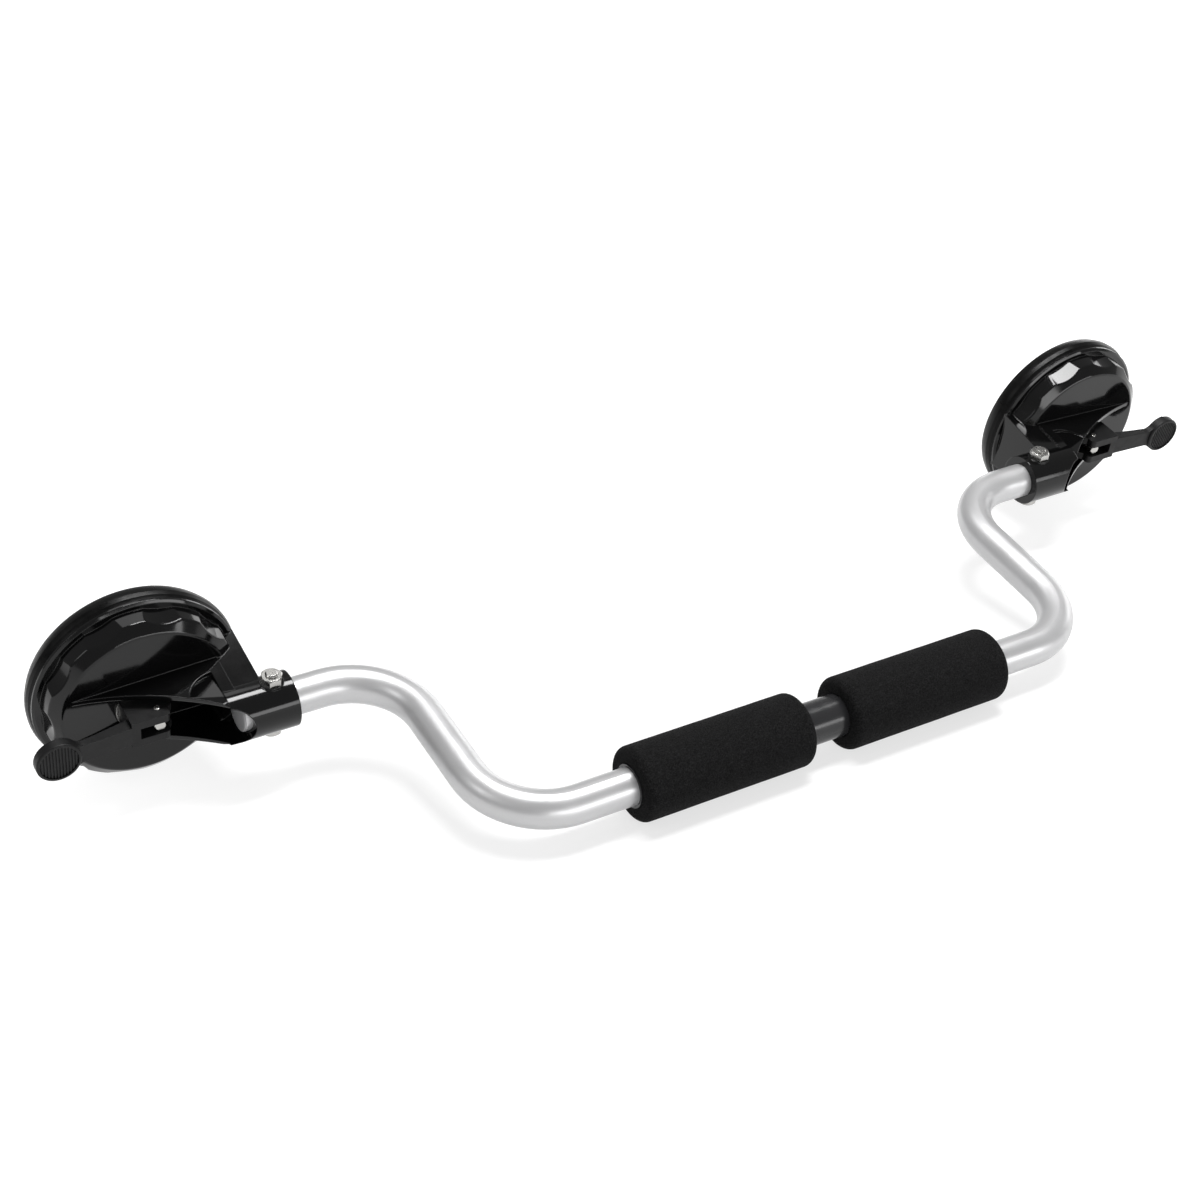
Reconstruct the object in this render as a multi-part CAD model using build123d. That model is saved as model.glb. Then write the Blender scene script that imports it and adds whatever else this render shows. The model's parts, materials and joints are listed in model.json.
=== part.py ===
from build123d import *
import math
import os

# Suction-mounted offset bar with a free-spinning padded roller. All lengths are in millimetres.
#
# Everything is first built in the flat frame of the bent bar: X runs along the bar, Y runs from the
# roller's axis towards the suction faces, and Z is square to both. One last placement then tilts the
# assembly about X so that it rests on the roller and on the two rubber rims, with the floor at Z = 0.

# ---- Bar ----
TUBE_RADIUS = 12.5
TUBE_WALL = 1.5
BEND_RADIUS = 50.0
LEG_X = 230.0
BAR_OFFSET = 158.0
TUBE_END_X = 335.3
PLUG_HEAD_RADIUS = 12.3
PLUG_HEAD = 1.2
PLUG_DEPTH = 14.0

# ---- Roller ----
SLEEVE_RADIUS = 14.45
SLEEVE_WALL = 1.85
SLEEVE_HALF = 143.2
GRIP_RADIUS = 25.0
GRIP_INNER_X = 15.7
GRIP_OUTER_X = 142.6
GRIP_ROUNDING = 5.0

# ---- Suction head: places along Y ----
HEAD_X = 383.5
PIN_Y = 172.0
FACE_Y = 189.0
FLANGE_Y = 205.5
HOUSING_BACK_Y = 208.5
RIM_Y = 223.0

# ---- Dome ----
FACE_RADIUS = 54.6
FACE_EDGE_ROUNDING = 3.0
CREASE_RADIUS = 61.8
CREASE_Y = 194.6
CREASE_ROUNDING = 2.0
DOME_BASE_RADIUS = 63.0
LOBES = 10
LOBE_TURN = 4.0
LOBE_ROUNDING = 2.5
SCALLOP_RADIUS = 60.0
SCALLOP_ROOT = 58.8
SCALLOP_ROOT_Y = 191.8
SCALLOP_DRAFT = 11.0
FLANGE_RADIUS = 67.8
FACE_WALL = 4.0
BOSS_RADIUS = 11.0
BOSS_END_Y = 203.0

# ---- Arm, socket and lever trough ----
SOCKET_RADIUS = 18.6
SOCKET_BORE = 12.55
SOCKET_MOUTH_X = 300.8
SOCKET_END_X = 345.0
TROUGH_START_X = 341.0
NECK_INNER_X = 319.0
NECK_HALF_WIDTH = 17.5
WALL_DRAFT = 0.125
LIP_HALF_WIDTH = 18.0
LIP_START = (341.0, 145.5)
LIP_MIDDLE = (377.0, 171.3)
LIP_END = (433.0, 189.2)
TROUGH_HALF_WIDTH = 15.0
NOTCH_X = 331.0
NOTCH_Y = 170.0
CORNER_FLAT_RADIUS = 21.0
CORNER_FLAT_Z = 17.9

# ---- Socket bolt and nut ----
BOLT_X = 313.5
BOLT_RADIUS = 4.0
BOLT_HOLE_RADIUS = 4.15
SEAT_RADIUS = 7.8
SEAT_Z = 18.9
NUT_ACROSS_FLATS = 13.0
NUT_HEIGHT = 5.2
BOLT_PROUD = 1.8
HEAD_HEIGHT = 4.6

# ---- Lever, cam and pin ----
STROKE = 5.5
CAM_LOCKED = 15.5
CAM_CLEARANCE = 0.3
FORK_FRONT = 8.0
FORK_INNER = 6.4
FORK_CORNER = 3.5
FORK_HALF_WIDTH = 10.0
FORK_OUTER = 19.2
SLOT_HALF_WIDTH = 4.25
SLOT_END = 13.5
ARM_HALF_WIDTH = 7.0
ARM_END_HALF_WIDTH = 6.2
ARM_BACK = 0.6
ARM_END_FRONT = 11.2
PAD_CENTRE = 66.5
PAD_RADIUS = 14.3
PAD_FRONT = 12.2
PAD_BACK = 5.0
PAD_FLARE = 9.0
PAD_ROUNDING = 1.2
RECESS_RADIUS = 12.3
RECESS_DEPTH = 1.3
RIBS = 12
RIB_PITCH = 1.95
RIB_WIDTH = 0.95
RIB_HEIGHT = 0.8
LEVER_PIN_RADIUS = 2.0
PIN_END = 10.9
PIN_RUNNING_GAP = 0.05

# ---- Pull stud, anchor and wear plate ----
STUD_RADIUS = 3.9
STUD_FRONT_Y = 166.0
STUD_BORE = 4.0
ANCHOR_Y = 208.0
ANCHOR_THICKNESS = 2.5
ANCHOR_RADIUS = 13.0
ANCHOR_GAP = 0.3
PLATE_RADIUS = 20.6
PLATE_THICKNESS = 1.5
PLATE_HALF_WIDTH = 14.4
PLATE_INNER = 12.8

# ---- Suction cup ----
BEAD_Y = 214.0
BEAD_RADIUS = 66.2
BEAD_ROUND = 3.2
CUP_CENTRE_Y = 216.4
CUP_BOSS_RADIUS = 17.0
CUP_BOSS_Y = 206.2

# Rest angle: the bead's round edge and the grips both touch the floor.
bead_distance = math.hypot(BEAD_RADIUS, BEAD_Y)
bead_angle = math.atan2(BEAD_Y, BEAD_RADIUS)
TILT = math.degrees(math.acos((GRIP_RADIUS - BEAD_ROUND) / bead_distance) - bead_angle)


def tilted_back_edge():
    """Furthest Y of the rubber rim after the tilt, measured from the roller's axis."""
    reach = [(RIM_Y, BEAD_RADIUS), (BEAD_Y, BEAD_RADIUS + BEAD_ROUND)]
    lean = math.radians(TILT)
    return max(y * math.cos(lean) + r * math.sin(lean) for y, r in reach)


CENTRE_Y = (tilted_back_edge() - GRIP_RADIUS) / 2
PLACEMENT = Pos(0, -CENTRE_Y, GRIP_RADIUS) * Rot(TILT, 0, 0)


def save(name, solid):
    """Place a piece in the resting pose and write it."""
    placed = PLACEMENT * solid
    placed.label = name
    export_step(placed, f"parts/{name}.step")


def save_pair(name, right_solid):
    """Write a right-hand piece and its mirror image."""
    save(f"right_{name}", right_solid)
    save(f"left_{name}", mirror(right_solid, about=Plane.YZ))


def rod_x(radius, x_from, x_to, y=0.0):
    """Round bar along X."""
    bar = Cylinder(radius, x_to - x_from, align=(Align.CENTER, Align.CENTER, Align.MIN))
    return Pos(x_from, y, 0) * Rot(0, 90, 0) * bar


def rod_y(radius, y_from, y_to, x=HEAD_X):
    """Round bar along Y."""
    bar = Cylinder(radius, y_to - y_from, align=(Align.CENTER, Align.CENTER, Align.MIN))
    return Pos(x, y_from, 0) * Rot(-90, 0, 0) * bar


def rod_z(radius, z_from, z_to, x, y):
    """Round bar along Z."""
    bar = Cylinder(radius, z_to - z_from, align=(Align.CENTER, Align.CENTER, Align.MIN))
    return Pos(x, y, z_from) * bar


def block(x_from, x_to, y_from, y_to, z_half):
    """Box given by its X and Y limits, centred on Z = 0."""
    size = (x_to - x_from, y_to - y_from, 2 * z_half)
    return Pos((x_from + x_to) / 2, (y_from + y_to) / 2, 0) * Box(*size)


def outline(points):
    """Flat face from a closed run of straight edges in the XY plane."""
    return make_face(Polyline(*points, close=True))


def slab(face, z_half):
    """Flat XY face thickened equally to both sides of Z = 0."""
    return extrude(face, amount=z_half, both=True)


def turned(points, rounding=None):
    """Solid of revolution about the head's axis from (radius, Y) points.

    rounding maps a point's index to the radius that rounds that corner.
    """
    face = outline([(HEAD_X + r, y) for r, y in points])
    for index, radius in (rounding or {}).items():
        r, y = points[index]
        corner = face.vertices().sort_by_distance((HEAD_X + r, y, 0))[0]
        face = fillet(corner, radius)
    return revolve(face, axis=Axis((HEAD_X, 0, 0), (0, 1, 0)))


# ---------------------------------------------------------------- bar and roller


def bar_sweep(radius):
    """Solid that follows the bar's five straights and four bends."""
    corners = [
        (-TUBE_END_X, BAR_OFFSET),
        (-LEG_X, BAR_OFFSET),
        (-LEG_X, 0),
        (LEG_X, 0),
        (LEG_X, BAR_OFFSET),
        (TUBE_END_X, BAR_OFFSET),
    ]
    path = FilletPolyline(*corners, radius=BEND_RADIUS)
    section = Plane(origin=path @ 0, z_dir=path % 0) * Circle(radius)
    return sweep(section, path=path)


def bent_tube():
    """Steel tube, bent twice each side, cross-drilled at both ends for the socket bolts."""
    tube = bar_sweep(TUBE_RADIUS) - bar_sweep(TUBE_RADIUS - TUBE_WALL)
    for side in (-1, 1):
        tube -= rod_z(BOLT_HOLE_RADIUS, -20, 20, side * BOLT_X, BAR_OFFSET)
    return tube


def tube_plug():
    """Cap pressed into the open tube end, hollow behind its face."""
    body_radius = TUBE_RADIUS - TUBE_WALL
    head = rod_x(PLUG_HEAD_RADIUS, TUBE_END_X, TUBE_END_X + PLUG_HEAD, BAR_OFFSET)
    skirt = rod_x(body_radius, TUBE_END_X - PLUG_DEPTH, TUBE_END_X, BAR_OFFSET)
    hollow = rod_x(body_radius - 1.8, TUBE_END_X - PLUG_DEPTH, TUBE_END_X - 1.0, BAR_OFFSET)
    plug = head + skirt - hollow
    rim = plug.edges().filter_by(GeomType.CIRCLE).sort_by(Axis.X)[-1]
    return fillet(rim, 0.8)


def roller_sleeve():
    """Thin tube that turns freely on the bar and carries both grips."""
    outer = rod_x(SLEEVE_RADIUS, -SLEEVE_HALF, SLEEVE_HALF)
    inner = rod_x(SLEEVE_RADIUS - SLEEVE_WALL, -SLEEVE_HALF, SLEEVE_HALF)
    return outer - inner


def foam_grip():
    """Plain body of one foam grip, rounded at both outer rims."""
    grip = rod_x(GRIP_RADIUS, GRIP_INNER_X, GRIP_OUTER_X)
    grip = fillet(grip.edges().filter_by(GeomType.CIRCLE), GRIP_ROUNDING)
    return grip - rod_x(SLEEVE_RADIUS, GRIP_INNER_X, GRIP_OUTER_X)


# ---------------------------------------------------------------- housing


def dome(lobe_turn):
    """Round body of the housing: flat face, sloping shoulder and scalloped side wall."""
    profile = [
        (0, FACE_Y),
        (FACE_RADIUS, FACE_Y),
        (CREASE_RADIUS, CREASE_Y),
        (DOME_BASE_RADIUS, FLANGE_Y),
        (0, FLANGE_Y),
    ]
    cutter = Rot(SCALLOP_DRAFT, 0, 0) * Rot(-90, 0, 0) * Cylinder(SCALLOP_RADIUS, 60)
    root = Pos(0, SCALLOP_ROOT_Y, SCALLOP_ROOT) * scallop(cutter)
    turns = [Rot(0, 360 / LOBES * (lobe + 0.5) - lobe_turn, 0) for lobe in range(LOBES)]
    shell = turned(profile) - [Pos(HEAD_X, 0, 0) * turn * root for turn in turns]
    shell = fillet([edge for edge in shell.edges() if rise_along_y(edge) > 5], LOBE_ROUNDING)
    crease = [edge for edge in shell.edges() if is_on_crease(edge)]
    shell = fillet(crease, CREASE_ROUNDING)
    face_edge = shell.edges().filter_by_position(Axis.Y, FACE_Y - 0.01, FACE_Y + 0.01)
    return fillet(face_edge, FACE_EDGE_ROUNDING)


def rise_along_y(edge):
    """Distance along Y between an edge's two ends."""
    return abs((edge @ 0).Y - (edge @ 1).Y)


def is_on_crease(edge):
    """True for the wavy edge between the dome's shoulder and its side wall."""
    middle_y = (edge @ 0.5).Y
    return CREASE_Y - 5 < middle_y < CREASE_Y + 1 and rise_along_y(edge) < 4


def scallop(cutter):
    """Scallop cutter with its lowest line through the origin."""
    rise = SCALLOP_RADIUS / math.cos(math.radians(SCALLOP_DRAFT))
    return Pos(0, 0, rise) * cutter


def flange():
    """Thin round base plate that clamps the rubber rim."""
    profile = [
        (0, FLANGE_Y),
        (FLANGE_RADIUS - 1.8, FLANGE_Y),
        (FLANGE_RADIUS, FLANGE_Y + 1.2),
        (FLANGE_RADIUS, HOUSING_BACK_Y),
        (0, HOUSING_BACK_Y),
    ]
    return turned(profile)


def wall_plane_cut(solid, base_x, base_y, slope):
    """Trim a block's two sides to flats that widen with Y and towards the socket."""
    corners = []
    for x in (SOCKET_MOUTH_X, HEAD_X + 60):
        for y in (BAR_OFFSET - 30, RIM_Y):
            corners.append((x, y, LIP_HALF_WIDTH + WALL_DRAFT * (y - base_y + slope * (base_x - x))))
    a, b, c = (Vector(*corner) for corner in corners[:3])
    normal = (b - a).cross(c - a)
    if normal.Z < 0:
        normal = normal * -1
    half_space = Box(400, 400, 60, align=(Align.CENTER, Align.CENTER, Align.MIN))
    above = Plane(origin=a, z_dir=normal) * half_space
    return solid - above - mirror(above, about=Plane.XY)


def channel():
    """Two-walled channel that rises from the dome's face to the socket."""
    end = Vector(*LIP_END)
    back_y = FACE_Y + FACE_WALL
    inner_x = TROUGH_START_X - 4
    side_view = [
        ThreePointArc(LIP_START, LIP_MIDDLE, LIP_END),
        Polyline(end, (end.X, back_y), (inner_x, back_y), (inner_x, LIP_START[1]), LIP_START),
    ]
    solid = slab(make_face(side_view), 26)
    wall_rise = 0.35
    solid = wall_plane_cut(solid, end.X, end.Y, wall_rise)
    outside_socket = block(inner_x, SOCKET_END_X + 8, 100, BAR_OFFSET, 40)
    outside_socket -= rod_x(SOCKET_RADIUS - 0.5, inner_x - 1, SOCKET_END_X + 9, BAR_OFFSET)
    solid -= outside_socket
    for side in (-1, 1):
        low, high = sorted((side * CORNER_FLAT_Z, side * 30))
        flat = rod_z(CORNER_FLAT_RADIUS, low, high, SOCKET_END_X, BAR_OFFSET)
        solid -= flat & block(SOCKET_END_X, HEAD_X, 100, RIM_Y, 40)
    return solid


def neck():
    """Solid web between the socket and the inner side of the dome."""
    outer_x = SOCKET_END_X
    half_far = NECK_HALF_WIDTH + WALL_DRAFT * (HOUSING_BACK_Y - BAR_OFFSET)
    side_view = [
        (BAR_OFFSET, -NECK_HALF_WIDTH),
        (HOUSING_BACK_Y, -half_far),
        (HOUSING_BACK_Y, half_far),
        (BAR_OFFSET, NECK_HALF_WIDTH),
    ]
    face = Plane.YZ * outline(side_view)
    return Pos(NECK_INNER_X, 0, 0) * extrude(face, amount=outer_x - NECK_INNER_X)


def socket():
    """Sleeve around the tube end, with flat seats for the bolt head and the nut."""
    sleeve = rod_x(SOCKET_RADIUS, SOCKET_MOUTH_X, SOCKET_END_X, BAR_OFFSET)
    return sleeve + rod_z(SEAT_RADIUS, -SEAT_Z, SEAT_Z, BOLT_X, BAR_OFFSET)


def trough():
    """Space between the channel walls, with a full-round notch in the socket's front."""
    deep = block(TROUGH_START_X, HEAD_X + 55, 100, FACE_Y, TROUGH_HALF_WIDTH)
    corners = deep.edges().filter_by(Axis.Y).group_by(Axis.X)[0]
    deep = fillet(corners, 4.0)
    round_x = NOTCH_X + TROUGH_HALF_WIDTH
    notch = rod_y(TROUGH_HALF_WIDTH, 100, NOTCH_Y, round_x)
    return deep + notch + block(round_x, HEAD_X, 100, NOTCH_Y, TROUGH_HALF_WIDTH)


def rear_cavity():
    """Hollow behind the dome's face, around the guide boss of the stud."""
    profile = [
        (0, FACE_Y + FACE_WALL),
        (49, FACE_Y + FACE_WALL),
        (54.5, 201),
        (56, HOUSING_BACK_Y),
        (0, HOUSING_BACK_Y),
    ]
    boss = rod_y(BOSS_RADIUS, FACE_Y, BOSS_END_Y)
    return turned(profile) - boss


def housing(lobe_turn):
    """One moulded piece: dome, flange, channel arm and tube socket."""
    body = dome(lobe_turn) + flange() + neck() + channel() + socket()
    body -= trough()
    body -= rear_cavity()
    body -= rod_x(SOCKET_BORE, SOCKET_MOUTH_X - 1, SOCKET_END_X + 5, BAR_OFFSET)
    body -= rod_z(BOLT_HOLE_RADIUS, -30, 30, BOLT_X, BAR_OFFSET)
    body -= rod_y(STUD_BORE, FACE_Y - 5, HOUSING_BACK_Y)
    return body


# ---------------------------------------------------------------- cup, stud and plate


def suction_cup():
    """Rubber cup: rounded rim bead, thin hollow membrane and a boss around the anchor."""
    bead_front = BEAD_RADIUS + BEAD_ROUND * math.cos(math.radians(60))
    profile = [
        (0, CUP_BOSS_Y),
        (CUP_BOSS_RADIUS, CUP_BOSS_Y),
        (CUP_BOSS_RADIUS, CUP_CENTRE_Y - 4.2),
        (54, RIM_Y - 6.5),
        (54, HOUSING_BACK_Y),
        (bead_front, HOUSING_BACK_Y),
        (BEAD_RADIUS + BEAD_ROUND, BEAD_Y),
        (BEAD_RADIUS + BEAD_ROUND * 0.55, BEAD_Y + 4.2),
        (BEAD_RADIUS, RIM_Y),
        (60.5, RIM_Y),
        (58.0, RIM_Y - 2.2),
        (CUP_BOSS_RADIUS, CUP_CENTRE_Y),
        (0, CUP_CENTRE_Y),
    ]
    cup = turned(profile, {6: BEAD_ROUND})
    plate_room = rod_y(
        ANCHOR_RADIUS + ANCHOR_GAP,
        ANCHOR_Y - ANCHOR_GAP,
        ANCHOR_Y + ANCHOR_THICKNESS + ANCHOR_GAP,
    )
    return cup - plate_room - rod_y(STUD_RADIUS + ANCHOR_GAP, CUP_BOSS_Y - 1, ANCHOR_Y)


def pull_stud():
    """Steel stud from the fork to the anchor plate, cross-drilled for the lever pin."""
    stud = rod_y(STUD_RADIUS, STUD_FRONT_Y, ANCHOR_Y)
    tip = stud.edges().filter_by(GeomType.CIRCLE).sort_by(Axis.Y)[0]
    stud = chamfer(tip, 0.7)
    return stud - rod_z(LEVER_PIN_RADIUS + PIN_RUNNING_GAP, -10, 10, HEAD_X, PIN_Y)


def anchor_plate():
    """Round steel plate at the stud's foot, moulded into the cup."""
    return rod_y(ANCHOR_RADIUS, ANCHOR_Y, ANCHOR_Y + ANCHOR_THICKNESS)


def wear_plate():
    """Steel plate under the cam: a disc with three straight sides and the stud's hole."""
    disc = rod_y(PLATE_RADIUS, FACE_Y - PLATE_THICKNESS, FACE_Y)
    disc &= block(HEAD_X - PLATE_INNER, HEAD_X + 30, 150, RIM_Y, PLATE_HALF_WIDTH)
    return disc - rod_y(STUD_BORE + 0.4, 150, RIM_Y)


# ---------------------------------------------------------------- lever


def lever_point(x, y):
    """Point given from the lever's pin, X outwards and Y towards the suction face."""
    return (HEAD_X + x, PIN_Y + y)


def cam_outline():
    """Side view of the fork.

    The cam's edge is the involute that keeps the pin's distance from the wear plate in
    proportion to the lever's angle: CAM_LOCKED when closed and STROKE less at a right angle.
    """
    rate = STROKE / (math.pi / 2)
    reach = CAM_LOCKED - CAM_CLEARANCE
    steps = 8
    curve = []
    for step in range(steps + 1):
        angle = math.pi / 2 * step / steps
        distance = reach - rate * angle
        x = -distance * math.sin(angle) + rate * math.cos(angle)
        y = distance * math.cos(angle) + rate * math.sin(angle)
        curve.append(lever_point(x, y))
    corners = [
        curve[-1],
        lever_point(-(reach - STROKE), 1.5),
        lever_point(-FORK_INNER, -1.5),
        lever_point(-FORK_INNER, -FORK_FRONT),
        lever_point(FORK_OUTER, -FORK_FRONT),
        lever_point(FORK_OUTER, reach),
        curve[0],
    ]
    face = make_face([Spline(*curve), Polyline(*corners)])
    nose = face.vertices().sort_by_distance((*corners[3], 0))[0]
    return fillet(nose, FORK_CORNER)


def lever_side_view():
    """Side view of the arm, from the fork to the middle of the pad."""
    start = FORK_OUTER - 3
    pad_inner = PAD_CENTRE - PAD_RADIUS
    corners = [
        lever_point(start, -FORK_FRONT),
        lever_point(FORK_OUTER, -FORK_FRONT),
        lever_point(PAD_CENTRE, -ARM_END_FRONT),
        lever_point(PAD_CENTRE, -PAD_BACK),
        lever_point(pad_inner - 2, -PAD_BACK),
        lever_point(FORK_OUTER, ARM_BACK),
        lever_point(start, ARM_BACK),
    ]
    return outline(corners)


def lever_front_view():
    """Tapered arm and round pad seen square to the pad, with the arm flaring into the pad."""
    start = FORK_OUTER - 3
    waist = ARM_END_HALF_WIDTH
    arm_corners = [
        (start, -ARM_HALF_WIDTH),
        (PAD_CENTRE, -waist),
        (PAD_CENTRE, waist),
        (start, ARM_HALF_WIDTH),
    ]
    plan = outline(arm_corners) + Pos(PAD_CENTRE, 0) * Circle(PAD_RADIUS)
    waist_x = PAD_CENTRE - math.sqrt(PAD_RADIUS**2 - waist**2)
    for side in (-1, 1):
        corner = plan.vertices().sort_by_distance((waist_x, side * waist, 0))[0]
        plan = fillet(corner, PAD_FLARE)
    return plan


def thumb_ribs():
    """Low ribs across the floor of the pad's recess."""
    floor_y = PIN_Y - PAD_FRONT + RECESS_DEPTH
    ribs = []
    for index in range(RIBS):
        offset = RIB_PITCH * (index - (RIBS - 1) / 2)
        half_length = math.sqrt((RECESS_RADIUS - 0.3) ** 2 - offset**2)
        rib = Box(RIB_WIDTH, RIB_HEIGHT, 2 * half_length)
        ribs.append(Pos(HEAD_X + PAD_CENTRE + offset, floor_y - RIB_HEIGHT / 2, 0) * rib)
    return ribs


def lever():
    """Cam lever: slotted fork, arm and ribbed thumb pad, one moulding."""
    fork = slab(cam_outline(), FORK_HALF_WIDTH)
    front = Plane(origin=(HEAD_X, PIN_Y, 0), x_dir=(1, 0, 0), z_dir=(0, 1, 0))
    arm = extrude(front * lever_front_view(), amount=40, both=True)
    arm &= slab(lever_side_view(), 30)
    pad_x = HEAD_X + PAD_CENTRE
    pad = rod_y(PAD_RADIUS, PIN_Y - PAD_FRONT, PIN_Y - PAD_BACK, pad_x)
    pad = fillet(pad.edges().filter_by(GeomType.CIRCLE), PAD_ROUNDING)
    recess = rod_y(RECESS_RADIUS, PIN_Y - 30, PIN_Y - PAD_FRONT + RECESS_DEPTH, pad_x)
    slot = block(HEAD_X - 20, HEAD_X + SLOT_END, PIN_Y - 20, PIN_Y + 30, SLOT_HALF_WIDTH)
    solid = fork + arm + pad - recess - slot
    for rib in thumb_ribs():
        solid += rib
    return solid - rod_z(LEVER_PIN_RADIUS, -30, 30, HEAD_X, PIN_Y)


def lever_pin():
    """Steel pin held in the fork's ears and running in the stud."""
    pin = rod_z(LEVER_PIN_RADIUS, -PIN_END, PIN_END, HEAD_X, PIN_Y)
    return fillet(pin.edges().filter_by(GeomType.CIRCLE), 0.6)


# ---------------------------------------------------------------- socket fastener


def hexagon(thickness, z_from):
    """Hexagonal prism on the socket bolt's axis."""
    shape = RegularPolygon(NUT_ACROSS_FLATS / 2, 6, major_radius=False)
    return Pos(BOLT_X, BAR_OFFSET, z_from) * extrude(shape, amount=thickness)


def rounded_hexagon(thickness, z_from, crown_z, crown_sign):
    """Hexagonal prism with its outer corners turned off by a shallow cone."""
    top = Cone(NUT_ACROSS_FLATS / 2 * 1.5, NUT_ACROSS_FLATS / 2 * 0.95, 3.0)
    flip = Rot(0 if crown_sign > 0 else 180, 0, 0)
    top = Pos(BOLT_X, BAR_OFFSET, crown_z - crown_sign * 1.5) * flip * top
    body_from, body_to = sorted((z_from, crown_z - crown_sign * 3.0))
    body = rod_z(NUT_ACROSS_FLATS, body_from, body_to, BOLT_X, BAR_OFFSET)
    low = min(z_from, crown_z)
    return hexagon(thickness, low) & (top + body)


def socket_bolt():
    """Hex bolt through socket and tube, head underneath."""
    head = rounded_hexagon(HEAD_HEIGHT, -SEAT_Z, -SEAT_Z - HEAD_HEIGHT, -1)
    shank = rod_z(BOLT_RADIUS, -SEAT_Z, SEAT_Z + NUT_HEIGHT + BOLT_PROUD, BOLT_X, BAR_OFFSET)
    tip = shank.edges().filter_by(GeomType.CIRCLE).sort_by(Axis.Z)[-1]
    return head + chamfer(tip, 0.8)


def socket_nut():
    """Hex nut on top of the socket."""
    nut = rounded_hexagon(NUT_HEIGHT, SEAT_Z, SEAT_Z + NUT_HEIGHT, 1)
    return nut - rod_z(BOLT_RADIUS, 0, 60, BOLT_X, BAR_OFFSET)


os.makedirs("parts", exist_ok=True)
save("bent_tube", bent_tube())
save_pair("tube_plug", tube_plug())
save("roller_sleeve", roller_sleeve())
save_pair("foam_grip", foam_grip())
# The lobes are turned the same way round on both heads, so these two aren't mirror images.
save("right_housing", housing(LOBE_TURN))
save("left_housing", mirror(housing(-LOBE_TURN), about=Plane.YZ))
save_pair("suction_cup", suction_cup())
save_pair("wear_plate", wear_plate())
save_pair("pull_stud", pull_stud())
save_pair("anchor_plate", anchor_plate())
save_pair("lever", lever())
save_pair("lever_pin", lever_pin())
save_pair("socket_bolt", socket_bolt())
save_pair("socket_nut", socket_nut())
print(f"tilt {TILT:.3f} degrees, roller axis at Y {-CENTRE_Y:.3f} mm, Z {GRIP_RADIUS} mm")
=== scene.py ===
import json
import math

import bpy
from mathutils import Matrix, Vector, noise


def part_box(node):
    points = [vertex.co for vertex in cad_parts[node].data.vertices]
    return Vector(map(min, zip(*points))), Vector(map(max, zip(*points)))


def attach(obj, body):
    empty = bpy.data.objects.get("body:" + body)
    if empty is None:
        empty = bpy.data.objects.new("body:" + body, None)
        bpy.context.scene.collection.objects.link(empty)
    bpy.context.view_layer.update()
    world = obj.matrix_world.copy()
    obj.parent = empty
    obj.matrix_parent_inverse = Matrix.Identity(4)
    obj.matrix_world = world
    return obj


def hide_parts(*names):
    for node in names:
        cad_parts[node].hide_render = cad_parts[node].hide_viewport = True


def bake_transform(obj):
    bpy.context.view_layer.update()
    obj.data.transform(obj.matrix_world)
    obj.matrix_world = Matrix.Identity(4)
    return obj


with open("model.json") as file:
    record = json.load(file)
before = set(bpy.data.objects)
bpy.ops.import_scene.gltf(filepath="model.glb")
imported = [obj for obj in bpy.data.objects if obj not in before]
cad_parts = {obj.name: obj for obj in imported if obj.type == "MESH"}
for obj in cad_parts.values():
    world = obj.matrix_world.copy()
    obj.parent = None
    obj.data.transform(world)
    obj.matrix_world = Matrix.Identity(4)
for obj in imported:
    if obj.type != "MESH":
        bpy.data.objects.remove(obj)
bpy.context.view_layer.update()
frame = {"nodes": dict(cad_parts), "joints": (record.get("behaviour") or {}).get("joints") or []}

# ------------------------------------------------------------------ places from the frame

MM = 0.001
SIDES = ("left", "right")
HEAD_SIGN = {"left": -1, "right": 1}

joints = {joint["name"]: joint for joint in frame["joints"]}
bar_axis = Vector((1, 0, 0))
wall_axis = Vector(joints["right_stud_slide"]["axis"])
up_axis = bar_axis.cross(wall_axis)
roller_centre = Vector(joints["roller_spin"]["pos_m"])
head_x = joints["right_lever_flip"]["pos_m"][0]


def flat_point(x, v, w):
    """Point x along the bar, v towards the wall and w square to both, in metres from the roller's centre."""
    return roller_centre + bar_axis * x + wall_axis * v + up_axis * w


# ------------------------------------------------------------------ mesh helpers

ON_AXIS = 1e-7


def mesh_object(name, points, faces, material):
    mesh = bpy.data.meshes.new(name)
    mesh.from_pydata([tuple(p) for p in points], [], faces)
    mesh.validate()
    mesh.update()
    for polygon in mesh.polygons:
        polygon.use_smooth = True
    mesh.materials.append(material)
    piece = bpy.data.objects.new(name, mesh)
    bpy.context.scene.collection.objects.link(piece)
    return piece


def rounded(profile, radii, steps=6):
    """Closed outline with the listed corners turned into arcs. radii maps a corner's index to its radius."""
    out = []
    count = len(profile)
    for i, corner in enumerate(profile):
        here = Vector(corner)
        radius = radii.get(i, 0)
        if not radius:
            out.append(here)
            continue
        before = (Vector(profile[i - 1]) - here).normalized()
        after = (Vector(profile[(i + 1) % count]) - here).normalized()
        half = before.angle(after) / 2
        reach = radius / math.tan(half)
        middle = here + (before + after).normalized() * (radius / math.sin(half))
        start, end = here + before * reach, here + after * reach
        first, last = start - middle, end - middle
        turn = first.angle(last)
        for k in range(steps + 1):
            a = turn * k / steps
            out.append(middle + (first * math.sin(turn - a) + last * math.sin(a)) / math.sin(turn))
    return out


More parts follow.
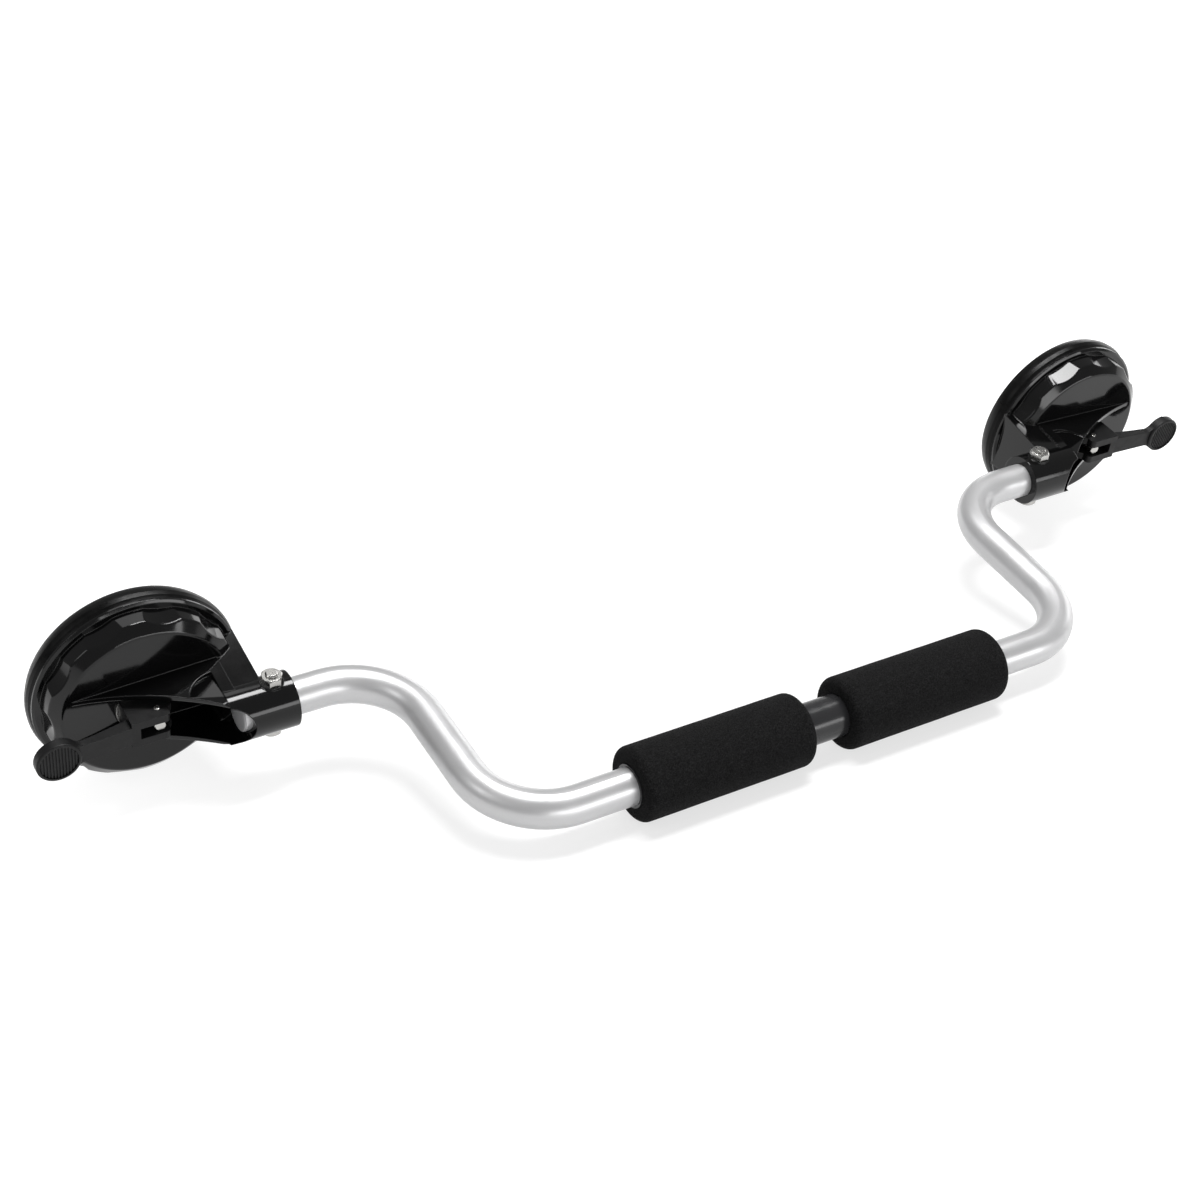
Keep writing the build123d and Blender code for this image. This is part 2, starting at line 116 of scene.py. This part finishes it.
def revolve(name, profile, centre, axis, side, segments, material, wobble=None):
    """Solid of revolution. profile is a closed outline of (radius, place along axis) pairs.

    side is any direction square to axis. wobble says how far out a point moves, from its place and radius.
    """
    other = axis.cross(side)
    points, faces, rings = [], [], []
    for radius, along in profile:
        if radius < ON_AXIS:
            rings.append([len(points)])
            points.append(centre + axis * along)
            continue
        ring = []
        for k in range(segments):
            a = 2 * math.pi * k / segments
            out = side * math.cos(a) + other * math.sin(a)
            place = centre + axis * along + out * radius
            if wobble:
                place += out * wobble(place, radius)
            ring.append(len(points))
            points.append(place)
        rings.append(ring)
    count = len(rings)
    for i in range(count):
        a, b = rings[i], rings[(i + 1) % count]
        if len(a) == 1 and len(b) == 1:
            continue
        for k in range(segments):
            n = (k + 1) % segments
            if len(a) == 1:
                faces.append((a[0], b[n], b[k]))
            elif len(b) == 1:
                faces.append((a[k], a[n], b[0]))
            else:
                faces.append((a[k], a[n], b[n], b[k]))
    return mesh_object(name, points, faces, material)


# ------------------------------------------------------------------ materials

IOR = 1.5


class Look:
    """One material's node tree, built up from a Principled shader."""

    def __init__(self, name, colour, roughness, metallic=0.0, level=0.5):
        self.material = bpy.data.materials.new(name)
        self.material.use_nodes = True
        self.tree = self.material.node_tree
        self.shader = self.tree.nodes["Principled BSDF"]
        self.shader.inputs["Base Color"].default_value = (*colour, 1)
        self.shader.inputs["Roughness"].default_value = roughness
        self.shader.inputs["Metallic"].default_value = metallic
        self.shader.inputs["Specular IOR Level"].default_value = level
        self.shader.inputs["IOR"].default_value = IOR
        self.place = self.tree.nodes.new("ShaderNodeTexCoord").outputs["Object"]
        self.normal = None

    def node(self, kind, **values):
        """New node. Each value goes to the input of that name, or else to the property."""
        made = self.tree.nodes.new(kind)
        for key, value in values.items():
            if key in made.inputs:
                made.inputs[key].default_value = value
            else:
                setattr(made, key, value)
        return made

    def link(self, a, b):
        self.tree.links.new(a, b)

    def noise(self, size_mm, detail=2.0, rough=0.5):
        """Noise with features of about size_mm."""
        made = self.node("ShaderNodeTexNoise", Scale=1 / (size_mm * MM), Detail=detail, Roughness=rough)
        self.link(self.place, made.inputs["Vector"])
        return made.outputs["Fac"]

    def cells(self, size_mm):
        """Distance from the middle of cells of about size_mm."""
        made = self.node("ShaderNodeTexVoronoi", Scale=1 / (size_mm * MM))
        self.link(self.place, made.inputs["Vector"])
        return made.outputs["Distance"]

    def spread(self, value, low, high, from_low=0.3, from_high=0.7):
        """Maps a value from from_low..from_high onto low..high."""
        made = self.node("ShaderNodeMapRange")
        made.inputs["From Min"].default_value = from_low
        made.inputs["From Max"].default_value = from_high
        made.inputs["To Min"].default_value = low
        made.inputs["To Max"].default_value = high
        self.link(value, made.inputs["Value"])
        return made.outputs["Result"]

    def tint(self, value, dark, light):
        """Base colour that goes from dark to light as value goes from 0 to 1."""
        made = self.node("ShaderNodeMix", data_type="RGBA")
        made.inputs["A"].default_value = (*dark, 1)
        made.inputs["B"].default_value = (*light, 1)
        self.link(value, made.inputs["Factor"])
        self.link(made.outputs["Result"], self.shader.inputs["Base Color"])

    def roughness(self, value):
        self.link(value, self.shader.inputs["Roughness"])

    def round_edges(self, radius_mm, samples=6):
        """Shades sharp edges as if they were rounded. It comes before any bump."""
        made = self.node("ShaderNodeBevel", samples=samples)
        made.inputs["Radius"].default_value = radius_mm * MM
        self.normal = made.outputs["Normal"]
        self.link(self.normal, self.shader.inputs["Normal"])

    def bump(self, height, depth_mm, strength=1.0):
        """Adds a bump to the rounded edges and the bumps before it."""
        made = self.node("ShaderNodeBump", Strength=strength, Distance=depth_mm * MM)
        self.link(height, made.inputs["Height"])
        if self.normal:
            self.link(self.normal, made.inputs["Normal"])
        self.normal = made.outputs["Normal"]
        self.link(self.normal, self.shader.inputs["Normal"])


def satin_steel():
    look = Look("satin_silver", (0.47, 0.47, 0.475), roughness=0.3, metallic=0.6, level=0.5)
    look.round_edges(radius_mm=1.0)
    grain = look.noise(0.35, detail=3, rough=0.6)
    clouds = look.noise(18, detail=3)
    look.roughness(look.spread(clouds, 0.32, 0.39))
    look.tint(look.spread(grain, 0, 1), dark=(0.45, 0.45, 0.455), light=(0.50, 0.50, 0.505))
    return look.material


def sleeve_plastic():
    look = Look("sleeve_plastic", (0.016, 0.016, 0.017), roughness=0.2, level=0.35)
    look.roughness(look.spread(look.noise(9, detail=3), 0.15, 0.26))
    look.bump(look.noise(4, detail=1), depth_mm=0.01)
    return look.material


def foam():
    look = Look("closed_cell_foam", (0.006, 0.006, 0.0062), roughness=0.9, level=0.08)
    cells = look.cells(1.3)
    fine = look.noise(0.8, detail=3, rough=0.8)
    speckle = look.spread(fine, 0, 1, from_low=0.42, from_high=0.66)
    look.tint(speckle, dark=(0.001, 0.001, 0.001), light=(0.0155, 0.0155, 0.016))
    look.bump(cells, depth_mm=0.35, strength=0.9)
    look.bump(fine, depth_mm=0.5, strength=1.0)
    return look.material


def housing_plastic():
    look = Look("glossy_black_plastic", (0.0016, 0.0016, 0.0017), roughness=0.09, level=0.3)
    look.round_edges(radius_mm=0.9)
    look.roughness(look.spread(look.noise(14, detail=3), 0.06, 0.12))
    look.bump(look.noise(11, detail=1), depth_mm=0.02)
    return look.material


def lever_plastic():
    look = Look("matte_black_plastic", (0.005, 0.005, 0.0052), roughness=0.45, level=0.18)
    look.round_edges(radius_mm=0.35)
    grain = look.noise(0.3, detail=2)
    look.roughness(look.spread(look.noise(6, detail=3), 0.38, 0.52))
    look.bump(grain, depth_mm=0.01)
    return look.material


def cup_rubber():
    look = Look("black_rubber", (0.002, 0.002, 0.002), roughness=0.3, level=0.12)
    dust = look.noise(5, detail=4, rough=0.65)
    dust_shade = look.spread(dust, 0, 1, from_low=0.4, from_high=0.8)
    look.tint(dust_shade, dark=(0.001, 0.001, 0.001), light=(0.003, 0.003, 0.003))
    look.roughness(look.spread(dust, 0.25, 0.4))
    look.bump(look.noise(0.5, detail=2), depth_mm=0.012)
    return look.material


def bright_steel():
    look = Look("bright_steel", (0.42, 0.415, 0.40), roughness=0.25, metallic=1.0)
    look.round_edges(radius_mm=0.25)
    look.roughness(look.spread(look.noise(1.2, detail=3), 0.14, 0.30))
    look.bump(look.noise(0.5, detail=2), depth_mm=0.008)
    return look.material


def grey_plastic():
    look = Look("grey_plastic", (0.22, 0.22, 0.225), roughness=0.42)
    look.round_edges(radius_mm=0.3)
    look.roughness(look.spread(look.noise(3, detail=2), 0.36, 0.5))
    look.bump(look.noise(0.6, detail=2), depth_mm=0.01)
    return look.material


materials = {
    "satin_steel": satin_steel(),
    "sleeve_plastic": sleeve_plastic(),
    "foam": foam(),
    "housing_plastic": housing_plastic(),
    "lever_plastic": lever_plastic(),
    "cup_rubber": cup_rubber(),
    "bright_steel": bright_steel(),
    "grey_plastic": grey_plastic(),
}

slot_of = {name: node.data.materials[0].name.split(".")[0] for name, node in frame["nodes"].items()}
for name, node in frame["nodes"].items():
    node.material_slots[0].material = materials[slot_of[name]]

# ------------------------------------------------------------------ foam grips

FOAM_RADIUS = 25.0 * MM
FOAM_BORE = 14.6 * MM
FOAM_END_ROUND = 5.0 * MM
FOAM_BORE_ROUND = 0.6 * MM
FOAM_STEP = 1.5 * MM
FOAM_SEGMENTS = 160
# The foam is even up to this far from its bore.
EVEN_BORE = 3 * MM
# Elsewhere it lies this far in, changed by a slow and a fine noise: waves per metre, and depth in metres.
SKIN_INSET = 0.00012
SLOW_WAVES, SLOW_DEPTH = 45, 0.00010
FINE_WAVES, FINE_DEPTH = 160, 0.00004


def foam_wobble(place, radius):
    """Slight unevenness of the skin."""
    if radius < FOAM_BORE + EVEN_BORE:
        return 0
    slow = noise.noise(place * SLOW_WAVES)
    fine = noise.noise(place * FINE_WAVES)
    return -SKIN_INSET - SLOW_DEPTH * slow - FINE_DEPTH * fine


for side in SIDES:
    low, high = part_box(f"{side}_foam_grip")
    half = (high.x - low.x) / 2
    outline = rounded(
        [(FOAM_BORE, -half), (FOAM_RADIUS, -half), (FOAM_RADIUS, half), (FOAM_BORE, half)],
        {0: FOAM_BORE_ROUND, 1: FOAM_END_ROUND, 2: FOAM_END_ROUND, 3: FOAM_BORE_ROUND},
        steps=8,
    )
    profile = []
    for i, point in enumerate(outline):
        after = outline[(i + 1) % len(outline)]
        steps = max(1, int((after - point).length / FOAM_STEP))
        profile += [point.lerp(after, k / steps) for k in range(steps)]
    centre = Vector(((low.x + high.x) / 2, roller_centre.y, roller_centre.z))
    grip = revolve(
        f"{side}_foam", profile, centre, bar_axis, up_axis, FOAM_SEGMENTS, materials["foam"], foam_wobble
    )
    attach(grip, "roller")
    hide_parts(f"{side}_foam_grip")

# ------------------------------------------------------------------ suction cups

# Outlines in millimetres: radius, and distance towards the wall from the roller's centre.
# Each rounding maps a corner's index to its radius.
RIM_PROFILE = [
    (54.2, 208.6),
    (67.2, 208.6),
    (67.6, 209.6),
    (68.6, 210.9),
    (69.4, 214.0),
    (68.9, 217.6),
    (67.2, 221.6),
    (66.3, 223.0),
    (60.5, 223.0),
    (58.2, 221.2),
    (55.4, 220.7),
    (54.4, 219.4),
]
RIM_ROUNDING = {1: 0.5, 3: 1, 4: 2.6, 6: 1.2, 7: 0.6, 8: 0.6, 9: 1}
MEMBRANE_PROFILE = [
    (0, 206.4),
    (16.5, 206.4),
    (17.4, 211.0),
    (30.0, 213.2),
    (45.0, 216.2),
    (55.6, 218.0),
    (56.4, 219.2),
    (55.6, 220.4),
    (45.0, 218.8),
    (30.0, 216.0),
    (18.0, 214.6),
    (0, 214.2),
]
MEMBRANE_ROUNDING = {1: 1, 2: 2, 10: 3}
CUP_SEGMENTS = 160


def cup_outline(profile_mm, rounding_mm):
    profile = [(r * MM, v * MM) for r, v in profile_mm]
    return rounded(profile, {i: radius * MM for i, radius in rounding_mm.items()})


for side in SIDES:
    centre = flat_point(HEAD_SIGN[side] * head_x, 0, 0)
    rim = revolve(
        f"{side}_cup_rim",
        cup_outline(RIM_PROFILE, RIM_ROUNDING),
        centre, wall_axis, bar_axis, CUP_SEGMENTS, materials["cup_rubber"],
    )
    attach(rim, "frame")
    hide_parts(f"{side}_suction_cup")
    membrane = revolve(
        f"{side}_cup_membrane",
        cup_outline(MEMBRANE_PROFILE, MEMBRANE_ROUNDING),
        centre, wall_axis, bar_axis, CUP_SEGMENTS, materials["cup_rubber"],
    )
    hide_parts(f"{side}_suction_cup")
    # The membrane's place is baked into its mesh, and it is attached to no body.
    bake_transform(membrane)

# ------------------------------------------------------------------ floor, light and camera

FLOOR_HALF = 60.0
FLOOR_CORNERS = [(-1, -1), (1, -1), (1, 1), (-1, 1)]
# The floor glows, less near the origin than further out: the glow is painted light that lifts the floor's
# shadows, and the weaker glow near the origin is painted shade around the object's middle. Distances are
# from the origin, in metres.
NEAR_GLOW, NEAR_DISTANCE = 0.70, 0.22
FAR_GLOW, FAR_DISTANCE = 1.0, 0.55
WORLD_STRENGTH = 0.36

SENSOR_WIDTH = 36.0
FOCAL_LENGTH = 62.84
CLIP_START, CLIP_END = 0.05, 50
CAMERA_PLACE = (-0.70782, -1.01024, 0.77118)
CAMERA_DEGREES = (60.1426, -0.0818, -30.8761)

floor_look = Look("glowing_pale_floor", (0.3, 0.3, 0.3), roughness=0.9, level=0.1)
floor_look.shader.inputs["Emission Color"].default_value = (1, 1, 1, 1)
distance = floor_look.node("ShaderNodeVectorMath", operation="LENGTH")
floor_look.link(floor_look.place, distance.inputs[0])
# Emission strength from the distance to the origin: painted light on the floor, dimmer near the object as
# painted shade.
glow = floor_look.spread(distance.outputs["Value"], NEAR_GLOW, FAR_GLOW, NEAR_DISTANCE, FAR_DISTANCE)
floor_look.link(glow, floor_look.shader.inputs["Emission Strength"])
floor_look.roughness(floor_look.spread(floor_look.noise(60, detail=2), 0.85, 0.95))
floor = mesh_object(
    "floor",
    [(x * FLOOR_HALF, y * FLOOR_HALF, 0) for x, y in FLOOR_CORNERS],
    [(0, 1, 2, 3)],
    floor_look.material,
)


def area_light(name, place, target, width, depth, radiance):
    """Rectangular softbox. radiance is its brightness, with the white floor's at about 1."""
    data = bpy.data.lights.new(name, "AREA")
    data.shape = "RECTANGLE"
    data.size = width
    data.size_y = depth
    data.energy = radiance * math.pi * width * depth
    light = bpy.data.objects.new(name, data)
    light.location = place
    light.rotation_mode = "QUATERNION"
    light.rotation_quaternion = (Vector(target) - Vector(place)).to_track_quat("-Z", "Y")
    light.visible_camera = False
    bpy.context.scene.collection.objects.link(light)


area_light("overhead_key", (0.30, 0.10, 1.7), (0.30, 0.10, 0.0), width=1.1, depth=0.45, radiance=26)
area_light("left_softbox", (-1.9, -0.1, 1.35), (0.0, 0.0, 0.05), width=0.7, depth=0.6, radiance=3)
area_light("rear_softbox", (-0.14, 0.93, 1.6), (0.0, 0.0, 0.05), width=0.75, depth=0.6, radiance=1.9)
area_light("front_panel", (0.9, -3.2, 0.5), (0.1, 0.0, 0.1), width=3.6, depth=0.8, radiance=6)
area_light("right_panel", (2.7, 1.3, 0.5), (0.0, 0.1, 0.1), width=3.6, depth=0.8, radiance=2.5)

world = bpy.data.worlds.new("studio")
world.use_nodes = True
background = world.node_tree.nodes["Background"]
background.inputs["Color"].default_value = (1, 1, 1, 1)
background.inputs["Strength"].default_value = WORLD_STRENGTH
bpy.context.scene.world = world

camera_data = bpy.data.cameras.new("camera")
camera_data.sensor_width = SENSOR_WIDTH
camera_data.lens = FOCAL_LENGTH
camera_data.clip_start = CLIP_START
camera_data.clip_end = CLIP_END
camera = bpy.data.objects.new("camera", camera_data)
camera.location = CAMERA_PLACE
camera.rotation_euler = [math.radians(angle) for angle in CAMERA_DEGREES]
bpy.context.scene.collection.objects.link(camera)
bpy.context.scene.camera = camera
bpy.context.scene.view_settings.view_transform = "Standard"
bpy.context.scene.view_settings.look = "None"
